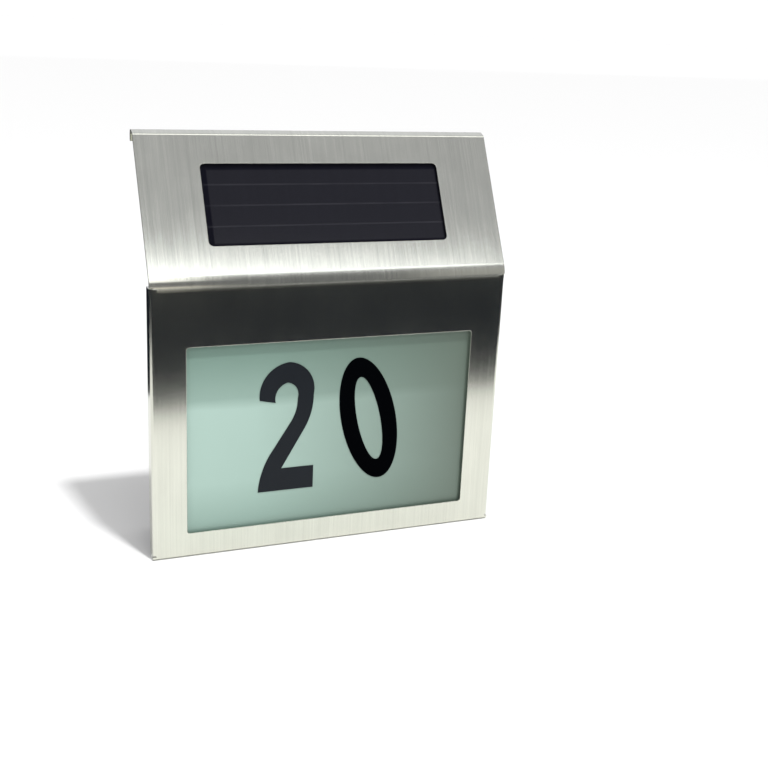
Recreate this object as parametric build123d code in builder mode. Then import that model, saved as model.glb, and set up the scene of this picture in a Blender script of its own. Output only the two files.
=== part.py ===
# Solar powered, illuminated house number sign.
#
# Millimetres. +Z is up, the viewer stands at -Y, the wall is at +Y, and X runs to the viewer's right.
# The origin lies in the middle of the footprint, on the surface that the sign stands on.

import os
from math import atan2, cos, degrees, pi, radians, sin, sqrt, tan

from build123d import *

os.makedirs("parts", exist_ok=True)

# ------------------------------------------------------------------ driving dimensions

# Outer size of the sign
sign_width = 180.0
sign_height = 201.0
sign_depth = 40.0

# Folded steel front
sheet = 1.0
panel_rise = 65.0
fold_radius = 16.0
hook_flange = 6.0
hook_slope = 20.0
hook_lip = 5.5
hook_radius = 2.0
foot_flange = 6.0
side_return = 7.0
side_radius = 1.6
corner_relief = 0.5

# Number window and its pane
window_margin = 16.7
window_height = 93.2
window_sill = 12.5
window_corner = 1.5
pane_overlap = 5.0
pane_thickness = 3.0
pane_corner = 2.0
pane_seal_thickness = 1.2
pane_seal_width = 3.5

# Numerals, cut from adhesive film
film = 0.25
numeral_height = 66.0
two_width = 28.5
two_left = -37.6
two_foot = 29.0
zero_width = 28.9
zero_stroke = 8.3
zero_crown = 10.2
zero_centre_x = 19.8
zero_centre_z = 62.6
zero_lean = 13.6

# Solar window and the module behind it, measured up the leaning panel from the fold
solar_margin = 29.5
solar_height = 40.2
solar_sill = 17.2
solar_corner = 2.4
solar_overlap = 4.0
solar_cover_thickness = 2.0
solar_seal_thickness = 0.5
solar_seal_width = 3.0
cell_rows = 4
cell_gap = 0.7
cell_thickness = 0.4
solar_board_thickness = 1.6

# Moulded housing
wall = 2.3
fit_gap = 0.15
pocket_gap = 0.3
body_inset = 9.0
rim_thickness = 4.0
ledge_thickness = 2.0
ledge_width = 3.0
tub_wall = 1.6
rim_gap = 0.3
web_thickness = 2.0

# Studs welded behind the sheet, and their nuts
stud_radius = 1.5
stud_stand_off = 3.8
stud_low = 18.0
stud_drop = 18.0
stud_spare = 1.2
nut_across_flats = 5.5
nut_height = 2.4
thread_gap = 0.05

# Light box and its lamps
reflector_wall = 1.2
reflector_margin = 0.5
reflector_flange = 1.5
reflector_back = 18.0
reflector_radius = 4.0
led_count = 4
led_end = 10.0
led_radius = 1.5
led_length = 4.6
led_tip = 0.1
led_collar = 0.3
led_collar_height = 0.8
led_hole_gap = 0.2
led_rib_width = 2.0
led_bench = 1.0
led_board_margin = 12.3
led_board_width = 8.0
led_board_thickness = 1.2

# Rear cover and its screws
cover_thickness = 2.5
cover_seal_thickness = 0.5
cover_lip = 1.5
cover_lip_depth = 2.0
cover_corner = 3.0
cover_pad = 2.0
boss_radius = 3.5
boss_inset = 6.0
boss_gap = 1.0
boss_low = 9.0
boss_drop = 17.0
screw_radius = 1.4
screw_gap = 0.06
screw_length = 8.0
screw_spare = 2.0
screw_head_radius = 2.7
screw_head_height = 1.5
screw_recess = 0.1
cross_length = 2.8
cross_width = 0.6
cross_depth = 0.9

# Keyholes for hanging the sign on two wall screws
keyhole_spacing = 100.0
keyhole_drop = 51.0
keyhole_entry_radius = 4.5
keyhole_slot_width = 4.6
keyhole_slot_rise = 9.0
keyhole_head_room = 4.6
keyhole_side_room = 1.0
keyhole_wall = 1.5

# Battery bay: one AA cell lying across the sign
cell_radius = 7.25
cell_length = 49.5
cell_edge = 0.6
cell_rim = 1.2
nub_radius = 2.75
nub_length = 1.0
cell_height = 62.0
bay_gap = 0.3
bay_wall = 1.6
bay_length = 59.0
bay_floor_depth = 21.5
contact_thickness = 0.4
spring_wire = 0.35
spring_base_radius = 4.6
spring_tip_radius = 3.0
spring_turns = 4
contact_width = 10.0
tab_width = 3.0
tab_length = 3.4
tab_gap = 0.2
tab_setback = 3.0

# Battery door
door_length = 86.0
door_height = 25.0
door_thickness = 2.0
door_gap = 0.3
door_corner = 2.0
door_screw_inset = 5.0
door_screw_radius = 1.1
door_screw_head_radius = 2.2
door_screw_head_height = 1.1
door_screw_taper = 45.0
door_screw_length = 7.0
door_boss_radius = 3.0
door_boss_length = 7.5
door_seal_width = 2.0
grip_x = 20.0
grip_count = 5
grip_pitch = 2.2
grip_length = 13.0
grip_width = 1.0

# Circuit board and what it carries
board_width = 56.0
board_height = 34.0
board_thickness = 1.6
board_drop = 76.0
board_depth = 29.0
board_corner = 1.5
board_post_inset = 4.0
board_post_radius = 3.0
board_screw_radius = 1.0
board_screw_head_radius = 1.9
board_screw_head_height = 1.2
board_screw_length = 6.0
small_cross_length = 2.0
small_cross_width = 0.45
small_cross_depth = 0.6
chip_length = 5.0
chip_width = 4.0
chip_height = 1.5
chip_x = 0.0
chip_up = 5.0
chip_leg_count = 4
chip_leg_pitch = 1.27
chip_leg_width = 0.4
chip_leg_reach = 1.0
chip_leg_height = 0.5
inductor_radius = 3.2
inductor_height = 4.5
inductor_groove = 0.7
inductor_x = -8.0
inductor_up = -4.0
capacitor_radius = 2.5
capacitor_height = 7.0
capacitor_edge = 0.4
capacitor_x = 11.0
capacitor_up = -7.0

# Slide switch
switch_x = 14.0
switch_length = 12.0
switch_height = 6.4
switch_thickness = 3.6
switch_travel = 3.0
slider_length = 3.0
slider_height = 3.6
slider_gap = 0.3
slider_seat = 1.6
recess_length = 17.0
recess_height = 11.0
recess_depth = 4.0
recess_floor = 1.5
recess_wall = 1.6
slider_setback = 0.7
slider_groove = 0.4

# Internal leads
lead_radius = 0.6
bend_share = 0.45
lead_spread = 3.0
lead_leave = 5.0
lead_stand_off = 5.0
solar_lead_x = -15.0
solar_lead_up = 30.0
solar_lead_rise = 11.0
led_lead_x = -21.5
led_lead_rise = 8.4
battery_lead_x = 19.0
battery_turn_rise = -27.0
battery_lead_rise = -14.0

# ------------------------------------------------------------------ places worked out from them

front = -sign_depth / 2
wall_side = sign_depth / 2
hook_setback = sign_depth - hook_flange
fold_height = sign_height - panel_rise
# the hook's flange rises to the back, so its rounded rear corner is the highest place of the sign
hook_tilt = radians(hook_slope)
hook_corner = sign_height + hook_radius * (tan(hook_tilt) + 1 / cos(hook_tilt) - 1)
panel_top = hook_corner - hook_flange * tan(hook_tilt)
panel_lean = degrees(atan2(hook_setback, panel_top - fold_height))
fold_run = fold_radius * tan(radians(panel_lean) / 2)

# Sketches on these planes have X to the right and Y up; a negative offset goes into the sign
face_plane = Plane(origin=(0, front, 0), x_dir=(1, 0, 0), z_dir=(0, -1, 0))
panel_plane = Plane(
    origin=(0, front, fold_height),
    x_dir=(1, 0, 0),
    z_dir=(0, -cos(radians(panel_lean)), sin(radians(panel_lean))),
)

window_width = sign_width - 2 * window_margin
window_centre = window_sill + window_height / 2
pane_width = window_width + 2 * pane_overlap
pane_height = window_height + 2 * pane_overlap
pane_depth = sheet + pane_seal_thickness
pane_back = pane_depth + pane_thickness

solar_width = sign_width - 2 * solar_margin
solar_centre = solar_sill + solar_height / 2
cover_width = solar_width + 2 * solar_overlap
cover_height = solar_height + 2 * solar_overlap
solar_cover_depth = sheet + solar_seal_thickness
cells_depth = solar_cover_depth + solar_cover_thickness
solar_board_depth = cells_depth + cell_thickness
solar_board_back = solar_board_depth + solar_board_thickness

body_width = sign_width - 2 * body_inset
housing_front = sheet + fit_gap
ledge_depth = pane_back + reflector_flange
ledge_back = ledge_depth + ledge_thickness
inner_half_width = body_width / 2 - wall
cover_depth = sign_depth - cover_thickness
housing_back = cover_depth - cover_seal_thickness
cover_top = sign_height - hook_lip - 2 * pocket_gap
board_centre_height = sign_height - board_drop

reflector_width = window_width + 2 * (reflector_margin + reflector_wall)
reflector_height = window_height + 2 * (reflector_margin + reflector_wall)
reflector_top = window_centre + reflector_height / 2
led_board_length = window_width - 2 * led_board_margin
led_pitch = (led_board_length - 2 * led_end) / (led_count - 1)
boss_start = reflector_back + boss_gap
boss_x = body_width / 2 - boss_inset
boss_high = sign_height - boss_drop
boss_heights = (boss_low, (boss_low + boss_high) / 2, boss_high)
rim_width = sign_width - 2 * (sheet + rim_gap)
screw_seat = sign_depth - screw_head_height - screw_recess
screw_tip_depth = screw_seat - screw_length - screw_spare


def into(depth):
    """The Y coordinate of a point that lies `depth` behind the upright face."""
    return front + depth


def panel_surface(height, depth):
    """The Y coordinate, at a height, of a plane `depth` behind the leaning panel."""
    lean = radians(panel_lean)
    return front + (height - fold_height) * tan(lean) + depth / cos(lean)


# ------------------------------------------------------------------ folded steel front

sheet_line = [
    (into(foot_flange), 0),
    (front, 0),
    (front, fold_height),
    (into(hook_setback), panel_top),
    (wall_side, hook_corner),
    (wall_side, sign_height - hook_lip),
]
return_bottom = hook_radius + corner_relief
rim_top = fold_height - fold_run - 2 * corner_relief
return_top = fold_height - fold_run / 2
return_middle = (return_bottom + return_top) / 2
return_length = return_top - return_bottom
stud_x = body_width / 2 + stud_stand_off
stud_high = fold_height - stud_drop
stud_middle = (stud_low + stud_high) / 2
stud_length = rim_thickness + fit_gap + nut_height + stud_spare

with BuildPart() as front_plate:
    with BuildSketch(Plane.YZ):
        with BuildLine():
            FilletPolyline(*sheet_line, radius=[hook_radius, fold_radius, hook_radius, hook_radius])
            offset(amount=sheet, side=Side.RIGHT)
        make_face()
    extrude(amount=sign_width / 2, both=True)
    # side returns: the edge strips of the upright face are cut off and folded ones put in their place
    with BuildSketch(face_plane):
        with Locations((0, return_middle)):
            with GridLocations(sign_width - side_radius, 0, 2, 1):
                Rectangle(side_radius, return_length + 2 * corner_relief)
    extrude(amount=-sheet, mode=Mode.SUBTRACT)
    with BuildSketch(Plane.XY.offset(return_bottom)):
        with BuildLine():
            FilletPolyline(
                (sign_width / 2 - 2 * side_radius, front),
                (sign_width / 2, front),
                (sign_width / 2, into(side_return)),
                radius=side_radius,
            )
            offset(amount=sheet, side=Side.LEFT)
        make_face()
        mirror(about=Plane.YZ)
    extrude(amount=return_length)
    # the two windows
    with BuildSketch(face_plane):
        with Locations((0, window_centre)):
            RectangleRounded(window_width, window_height, window_corner)
    extrude(amount=-2 * sheet, mode=Mode.SUBTRACT)
    with BuildSketch(panel_plane):
        with Locations((0, solar_centre)):
            RectangleRounded(solar_width, solar_height, solar_corner)
    extrude(amount=-2 * sheet, mode=Mode.SUBTRACT)
    # studs welded to the inner face
    with BuildSketch(face_plane.offset(-sheet)):
        with Locations((0, stud_middle)):
            with GridLocations(2 * stud_x, stud_high - stud_low, 2, 2):
                Circle(stud_radius)
    extrude(amount=-stud_length)

with BuildPart() as plate_nuts:
    with BuildSketch(face_plane.offset(-housing_front - rim_thickness)):
        with Locations((0, stud_middle)):
            with GridLocations(2 * stud_x, stud_high - stud_low, 2, 2):
                RegularPolygon(nut_across_flats / 2, 6, major_radius=False)
                Circle(stud_radius + thread_gap, mode=Mode.SUBTRACT)
    extrude(amount=-nut_height)

# ------------------------------------------------------------------ number window

with BuildPart() as window_seal:
    with BuildSketch(face_plane.offset(-sheet)):
        with Locations((0, window_centre)):
            RectangleRounded(pane_width, pane_height, pane_corner)
            inner_seal_width = pane_width - 2 * pane_seal_width
            Rectangle(inner_seal_width, pane_height - 2 * pane_seal_width, mode=Mode.SUBTRACT)
    extrude(amount=-pane_seal_thickness)

with BuildPart() as window_pane:
    with BuildSketch(face_plane.offset(-pane_depth)):
        with Locations((0, window_centre)):
            RectangleRounded(pane_width, pane_height, pane_corner)
    extrude(amount=-pane_thickness)


def on_pane(x, z, lean):
    """A sketch plane on the front of the pane, turned so that a numeral's top leans to the left."""
    turn = radians(lean)
    return Plane(origin=(x, into(pane_depth), z), x_dir=(cos(turn), 0, sin(turn)), z_dir=(0, -1, 0))


def two_at(across, up):
    """A point of the numeral 2, in shares of its width and height from the left end of its foot."""
    return (across * two_width, up * numeral_height)


with BuildPart() as numeral_two:
    with BuildSketch(on_pane(two_left, two_foot, 0)):
        with BuildLine():
            # foot, and the lower edge of the diagonal
            Polyline(two_at(0, 0), two_at(1, 0), two_at(1, 0.176), two_at(0.414, 0.176))
            Line(two_at(0.414, 0.176), two_at(0.81, 0.47))
            # right side of the bowl, its crown and the hook
            ThreePointArc(two_at(0.81, 0.47), two_at(0.93, 0.59), two_at(0.975, 0.742))
            ThreePointArc(two_at(0.975, 0.742), two_at(0.85, 0.932), two_at(0.533, 1))
            ThreePointArc(two_at(0.533, 1), two_at(0.19, 0.933), two_at(0.014, 0.72))
            Line(two_at(0.014, 0.72), two_at(0.295, 0.695))
            # inside of the hook and the bowl
            ThreePointArc(two_at(0.295, 0.695), two_at(0.35, 0.803), two_at(0.505, 0.845))
            ThreePointArc(two_at(0.505, 0.845), two_at(0.655, 0.806), two_at(0.69, 0.72))
            ThreePointArc(two_at(0.69, 0.72), two_at(0.66, 0.62), two_at(0.558, 0.526))
            # upper edge of the diagonal, down to the foot
            Line(two_at(0.558, 0.526), two_at(0.2, 0.286))
            ThreePointArc(two_at(0.2, 0.286), two_at(0.06, 0.146), two_at(0, 0))
        make_face()
    extrude(amount=film)

with BuildPart() as numeral_zero:
    with BuildSketch(on_pane(zero_centre_x, zero_centre_z, zero_lean)):
        Ellipse(zero_width / 2, numeral_height / 2)
        Ellipse(zero_width / 2 - zero_stroke, numeral_height / 2 - zero_crown, mode=Mode.SUBTRACT)
    extrude(amount=film)

# ------------------------------------------------------------------ light box behind the pane

led_y = into(ledge_back + pocket_gap + led_board_width / 2)
led_board_bottom = reflector_top + led_bench
reflector_depth = reflector_back - pane_back

with BuildPart() as reflector:
    with BuildSketch(face_plane.offset(-pane_back)):
        with Locations((0, window_centre)):
            RectangleRounded(reflector_width, reflector_height, reflector_radius)
    extrude(amount=-reflector_depth)
    fillet(reflector.faces().sort_by(Axis.Y)[-1].edges(), radius=reflector_radius)
    with BuildSketch(face_plane.offset(-pane_back)):
        with Locations((0, window_centre)):
            RectangleRounded(pane_width, pane_height, pane_corner)
    extrude(amount=-reflector_flange)
    with BuildSketch(face_plane.offset(-pane_back)):
        with Locations((0, window_centre)):
            inner_radius = reflector_radius - reflector_wall
            inner_width = reflector_width - 2 * reflector_wall
            RectangleRounded(inner_width, reflector_height - 2 * reflector_wall, inner_radius)
    extrude(amount=reflector_wall - reflector_depth, mode=Mode.SUBTRACT)
    # three bench ribs carry the lamp board, and each lamp looks down through its own hole
    with BuildSketch(Plane.XY.offset(reflector_top - reflector_wall / 2)):
        with Locations((0, led_y)):
            with GridLocations((led_board_length - led_board_width) / 2, 0, 3, 1):
                Rectangle(led_rib_width, led_board_width)
    extrude(amount=led_bench + reflector_wall / 2)
    with BuildSketch(Plane.XY.offset(reflector_top - 2 * reflector_wall)):
        with Locations((0, led_y)):
            with GridLocations(led_pitch, 0, led_count, 1):
                Circle(led_radius + led_hole_gap)
    extrude(amount=2 * reflector_wall, mode=Mode.SUBTRACT)

with BuildPart() as led_board:
    with BuildSketch(Plane.XY.offset(led_board_bottom)):
        with Locations((0, led_y)):
            Rectangle(led_board_length, led_board_width)
    extrude(amount=led_board_thickness)

with BuildPart() as leds:
    with BuildSketch(Plane.XY.offset(led_board_bottom)):
        with Locations((0, led_y)):
            with GridLocations(led_pitch, 0, led_count, 1):
                Circle(led_radius + led_collar)
    extrude(amount=-led_collar_height)
    with BuildSketch(Plane.XY.offset(led_board_bottom)):
        with Locations((0, led_y)):
            with GridLocations(led_pitch, 0, led_count, 1):
                Circle(led_radius)
    extrude(amount=-led_length)
    fillet(leds.edges().group_by(Axis.Z)[0], radius=led_radius - led_tip)

# ------------------------------------------------------------------ solar module

with BuildPart() as solar_seal:
    with BuildSketch(panel_plane.offset(-sheet)):
        with Locations((0, solar_centre)):
            RectangleRounded(cover_width, cover_height, pane_corner)
            inner_seal_width = cover_width - 2 * solar_seal_width
            Rectangle(inner_seal_width, cover_height - 2 * solar_seal_width, mode=Mode.SUBTRACT)
    extrude(amount=-solar_seal_thickness)

with BuildPart() as solar_cover:
    with BuildSketch(panel_plane.offset(-solar_cover_depth)):
        with Locations((0, solar_centre)):
            RectangleRounded(cover_width, cover_height, pane_corner)
    extrude(amount=-solar_cover_thickness)

cell_pitch = (solar_height + cell_gap) / cell_rows

with BuildPart() as solar_cells:
    with BuildSketch(panel_plane.offset(-cells_depth)):
        with Locations((0, solar_centre)):
            with GridLocations(0, cell_pitch, 1, cell_rows):
                Rectangle(cover_width - 2 * cell_gap, cell_pitch - cell_gap)
    extrude(amount=-cell_thickness)

with BuildPart() as solar_board:
    with BuildSketch(panel_plane.offset(-solar_board_depth)):
        with Locations((0, solar_centre)):
            RectangleRounded(cover_width, cover_height, pane_corner)
    extrude(amount=-solar_board_thickness)

# ------------------------------------------------------------------ housing

boss_places = [(side * boss_x, height) for side in (-1, 1) for height in boss_heights]
ledge_top = window_centre + pane_height / 2 + wall
interior_top = cover_top - wall
shell_low = sheet + fit_gap
shell_top = panel_top - sheet - fit_gap
shell_back = sign_depth - sheet - fit_gap
hook_gap_radius = hook_radius - sheet - fit_gap


def fold_line(depth):
    """The height at which a surface `depth` behind the sheet's outer face turns into the panel."""
    return fold_height - depth * tan(radians(panel_lean) / 2)


# everything that is hollow inside the shell, with the screw bosses and the solar tray left standing
with BuildPart() as interior:
    with BuildSketch(Plane.YZ):
        with BuildLine():
            Polyline(
                (into(ledge_back), wall),
                (into(ledge_back), ledge_top),
                (into(housing_front + wall), ledge_top),
                (into(housing_front + wall), fold_line(housing_front + wall)),
                (panel_surface(interior_top, housing_front + wall), interior_top),
                (wall_side, interior_top),
                (wall_side, wall),
                close=True,
            )
        make_face()
    extrude(amount=inner_half_width, both=True)
    with BuildSketch(face_plane.offset(-boss_start)):
        with Locations(*boss_places):
            Circle(boss_radius)
        for x, height in boss_places:
            web_end = inner_half_width if x > 0 else -inner_half_width
            with Locations(((x + web_end) / 2, height)):
                Rectangle(abs(web_end - x), web_thickness)
    extrude(amount=boss_start - sign_depth, mode=Mode.SUBTRACT)
    with BuildSketch(panel_plane.offset(-housing_front)):
        with Locations((0, solar_centre)):
            tray = pocket_gap + tub_wall
            Rectangle(cover_width + 2 * tray, cover_height + 2 * tray)
    extrude(amount=housing_front - solar_board_back - ledge_thickness, mode=Mode.SUBTRACT)

with BuildPart() as housing:
    with BuildSketch(Plane.YZ):
        with BuildLine():
            FilletPolyline(
                (into(housing_front), shell_low),
                (into(housing_front), fold_line(housing_front)),
                (panel_surface(shell_top, housing_front), shell_top),
                (into(shell_back), shell_top),
                (into(shell_back), cover_top + pocket_gap),
                (into(housing_back), cover_top + pocket_gap),
                (into(housing_back), 0),
                (into(foot_flange + fit_gap), 0),
                (into(foot_flange + fit_gap), shell_low),
                radius=[
                    hook_gap_radius,
                    fold_radius - housing_front,
                    hook_gap_radius,
                    hook_gap_radius,
                    0, 0, 0, 0, 0,
                ],
                close=True,
            )
        make_face()
    extrude(amount=body_width / 2, both=True)
    # the two lower corners are rounded like the rear cover
    with BuildSketch(Plane.XZ):
        with Locations((0, sign_height)):
            RectangleRounded(body_width, 2 * sign_height, cover_corner)
    extrude(amount=sign_depth, both=True, mode=Mode.INTERSECT)
    # the rim that sits between the side returns of the sheet
    with BuildSketch(face_plane.offset(-housing_front)):
        with Locations((0, (hook_radius + rim_top) / 2)):
            Rectangle(rim_width, rim_top - hook_radius)
    extrude(amount=-rim_thickness)
    add(interior.part, mode=Mode.SUBTRACT)
    # stepped opening for the pane and the light box
    with BuildSketch(face_plane.offset(-housing_front)):
        with Locations((0, window_centre)):
            RectangleRounded(pane_width + 2 * pocket_gap, pane_height + 2 * pocket_gap, pane_corner)
    extrude(amount=housing_front - ledge_depth, mode=Mode.SUBTRACT)
    with BuildSketch(face_plane.offset(-ledge_depth)):
        with Locations((0, window_centre)):
            through_width = reflector_width + 2 * pocket_gap
            through_height = reflector_height + 2 * pocket_gap
            RectangleRounded(through_width, through_height, reflector_radius + pocket_gap)
    extrude(amount=-ledge_thickness, mode=Mode.SUBTRACT)
    # stepped opening for the solar module
    with BuildSketch(panel_plane.offset(-housing_front)):
        with Locations((0, solar_centre)):
            RectangleRounded(cover_width + 2 * pocket_gap, cover_height + 2 * pocket_gap, pane_corner)
    extrude(amount=housing_front - solar_board_back, mode=Mode.SUBTRACT)
    with BuildSketch(panel_plane.offset(-solar_board_back)):
        with Locations((0, solar_centre)):
            Rectangle(cover_width - 2 * ledge_width, cover_height - 2 * ledge_width)
    extrude(amount=-ledge_thickness, mode=Mode.SUBTRACT)
    # holes for the studs, and pilot holes for the cover screws
    with BuildSketch(face_plane.offset(-housing_front)):
        with Locations((0, stud_middle)):
            with GridLocations(2 * stud_x, stud_high - stud_low, 2, 2):
                Circle(stud_radius + pocket_gap)
    extrude(amount=-rim_thickness, mode=Mode.SUBTRACT)
    with BuildSketch(face_plane.offset(-screw_tip_depth)):
        with Locations(*boss_places):
            Circle(screw_radius + screw_gap)
    extrude(amount=screw_tip_depth - sign_depth, mode=Mode.SUBTRACT)

# ------------------------------------------------------------------ rear cover

screw_places = boss_places
keyhole_height = sign_height - keyhole_drop
keyhole_places = [(-keyhole_spacing / 2, keyhole_height), (keyhole_spacing / 2, keyhole_height)]
keyhole_half = keyhole_entry_radius + keyhole_side_room
keyhole_rise = keyhole_slot_rise / 2
bay_half_height = cell_radius + bay_gap
cell_axis_depth = bay_floor_depth + bay_half_height
bay_tub_length = bay_length + 2 * bay_wall
bay_tub_height = 2 * (bay_half_height + bay_wall)
rebate_length = door_length + 2 * door_gap
rebate_height = door_height + 2 * door_gap
door_depth = sign_depth - door_thickness
door_screw_x = door_length / 2 - door_screw_inset
recess_seat = sign_depth - recess_depth
recess_front = recess_seat - recess_floor
slider_slot = slider_length + switch_travel + 2 * slider_gap
board_back = board_depth + board_thickness
post_spacing_x = board_width - 2 * board_post_inset
post_spacing_z = board_height - 2 * board_post_inset
tab_slot = contact_thickness + 2 * tab_gap
tab_depth = cell_axis_depth - tab_setback

with BuildPart() as rear_cover:
    with BuildSketch(face_plane.offset(-cover_depth)):
        with Locations((0, cover_top / 2)):
            RectangleRounded(body_width, cover_top, cover_corner)
    extrude(amount=-cover_thickness)
    # locating lip inside the housing wall, interrupted at the screw bosses
    with BuildSketch(face_plane.offset(-cover_depth)):
        lip_width = 2 * (inner_half_width - pocket_gap)
        lip_height = interior_top - wall - 2 * pocket_gap
        with Locations((0, (interior_top + wall) / 2)):
            Rectangle(lip_width, lip_height)
            Rectangle(lip_width - 2 * cover_lip, lip_height - 2 * cover_lip, mode=Mode.SUBTRACT)
        with Locations(*boss_places):
            Circle(boss_radius + 2 * pocket_gap, mode=Mode.SUBTRACT)
    extrude(amount=cover_lip_depth)
    # closed boxes behind the keyholes
    with BuildSketch(face_plane.offset(-cover_depth)):
        with Locations(*keyhole_places):
            with Locations((0, keyhole_rise)):
                box_width = 2 * (keyhole_half + keyhole_wall)
                Rectangle(box_width, box_width + keyhole_slot_rise)
    extrude(amount=keyhole_head_room + keyhole_wall)
    # pad under the battery door, the battery tub and the two door bosses
    with BuildSketch(face_plane.offset(-cover_depth)):
        with Locations((0, cell_height)):
            Rectangle(rebate_length + 2 * bay_wall, rebate_height + 2 * bay_wall)
    extrude(amount=cover_pad)
    with BuildSketch(face_plane.offset(-cover_depth)):
        with Locations((0, cell_height)):
            Rectangle(bay_tub_length, bay_tub_height)
    extrude(amount=cover_depth - bay_floor_depth + bay_wall)
    with BuildSketch(face_plane.offset(-cover_depth)):
        with Locations((0, cell_height)):
            with GridLocations(2 * door_screw_x, 0, 2, 1):
                Circle(door_boss_radius)
    extrude(amount=door_boss_length)
    # box around the switch recess, and the posts of the circuit board
    with BuildSketch(face_plane.offset(-cover_depth)):
        with Locations((switch_x, board_centre_height)):
            Rectangle(recess_length + 2 * recess_wall, recess_height + 2 * recess_wall)
    extrude(amount=cover_depth - recess_front)
    with BuildSketch(face_plane.offset(-cover_depth)):
        with Locations((0, board_centre_height)):
            with GridLocations(post_spacing_x, post_spacing_z, 2, 2):
                Circle(board_post_radius)
    extrude(amount=cover_depth - board_back)
    # keyholes: entry and slot through the plate, room for the screw head behind it
    with BuildSketch(face_plane.offset(-sign_depth)):
        with Locations(*keyhole_places):
            Circle(keyhole_entry_radius)
            with Locations((0, keyhole_rise)):
                Rectangle(keyhole_slot_width, keyhole_slot_rise)
            with Locations((0, keyhole_slot_rise)):
                Circle(keyhole_slot_width / 2)
    extrude(amount=cover_thickness, mode=Mode.SUBTRACT)
    with BuildSketch(face_plane.offset(-cover_depth)):
        with Locations(*keyhole_places):
            with Locations((0, keyhole_rise)):
                Rectangle(2 * keyhole_half, 2 * keyhole_half + keyhole_slot_rise)
    extrude(amount=keyhole_head_room, mode=Mode.SUBTRACT)
    # door rebate, then the round-bottomed trough for the cell
    with BuildSketch(face_plane.offset(-sign_depth)):
        with Locations((0, cell_height)):
            RectangleRounded(rebate_length, rebate_height, door_corner)
    extrude(amount=cover_thickness, mode=Mode.SUBTRACT)
    with BuildSketch(Plane.YZ):
        with Locations((into(cell_axis_depth), cell_height)):
            Circle(bay_half_height)
        with Locations((into((cell_axis_depth + sign_depth) / 2), cell_height)):
            Rectangle(sign_depth - cell_axis_depth, 2 * bay_half_height)
    extrude(amount=bay_length / 2, both=True, mode=Mode.SUBTRACT)
    # slots for the contact tabs
    with BuildSketch(Plane.YZ):
        with Locations((into(tab_depth), cell_height)):
            Rectangle(tab_width + 2 * tab_gap, tab_slot)
    extrude(amount=bay_tub_length / 2, both=True, mode=Mode.SUBTRACT)
    # switch recess and the slot that its slider runs in
    with BuildSketch(face_plane.offset(-sign_depth)):
        with Locations((switch_x, board_centre_height)):
            RectangleRounded(recess_length, recess_height, window_corner)
    extrude(amount=recess_depth, mode=Mode.SUBTRACT)
    with BuildSketch(face_plane.offset(-recess_seat)):
        with Locations((switch_x, board_centre_height)):
            Rectangle(slider_slot, slider_height + 2 * slider_gap)
    extrude(amount=recess_floor, mode=Mode.SUBTRACT)
    # screw holes
    with BuildSketch(face_plane.offset(-sign_depth)):
        with Locations(*screw_places):
            Circle(screw_radius + screw_gap)
    extrude(amount=cover_thickness, mode=Mode.SUBTRACT)
    with BuildSketch(face_plane.offset(-sign_depth)):
        with Locations(*screw_places):
            Circle(screw_head_radius + pocket_gap)
    extrude(amount=sign_depth - screw_seat, mode=Mode.SUBTRACT)
    with BuildSketch(face_plane.offset(-cover_depth)):
        with Locations((0, cell_height)):
            with GridLocations(2 * door_screw_x, 0, 2, 1):
                Circle(door_screw_radius + screw_gap)
    extrude(amount=door_boss_length - bay_wall, mode=Mode.SUBTRACT)
    with BuildSketch(face_plane.offset(-board_back)):
        with Locations((0, board_centre_height)):
            with GridLocations(post_spacing_x, post_spacing_z, 2, 2):
                Circle(board_screw_radius + screw_gap)
    extrude(amount=-board_screw_length, mode=Mode.SUBTRACT)

with BuildPart() as cover_seal:
    with BuildSketch(face_plane.offset(-housing_back)):
        with Locations((0, cover_top / 2)):
            RectangleRounded(body_width, cover_top, cover_corner)
            Rectangle(2 * inner_half_width, interior_top - wall, mode=Mode.SUBTRACT)
    extrude(amount=-cover_seal_thickness)

with BuildPart() as cover_screws:
    with BuildSketch(face_plane.offset(-screw_seat)):
        with Locations(*screw_places):
            Circle(screw_head_radius)
    extrude(amount=-screw_head_height)
    chamfer(cover_screws.edges().group_by(Axis.Y)[-1], length=screw_head_height / 3)
    with BuildSketch(face_plane.offset(-screw_seat)):
        with Locations(*screw_places):
            Circle(screw_radius)
    extrude(amount=screw_length)
    chamfer(cover_screws.edges().group_by(Axis.Y)[0], length=screw_radius / 2)
    with BuildSketch(face_plane.offset(-screw_seat - screw_head_height)):
        with Locations(*screw_places):
            Rectangle(cross_length, cross_width)
            Rectangle(cross_width, cross_length)
    extrude(amount=cross_depth, mode=Mode.SUBTRACT)

# ------------------------------------------------------------------ circuit board

with BuildPart() as circuit_board:
    with BuildSketch(face_plane.offset(-board_depth)):
        with Locations((0, board_centre_height)):
            RectangleRounded(board_width, board_height, board_corner)
            with GridLocations(post_spacing_x, post_spacing_z, 2, 2):
                Circle(board_screw_radius + screw_gap, mode=Mode.SUBTRACT)
    extrude(amount=-board_thickness)

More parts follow.
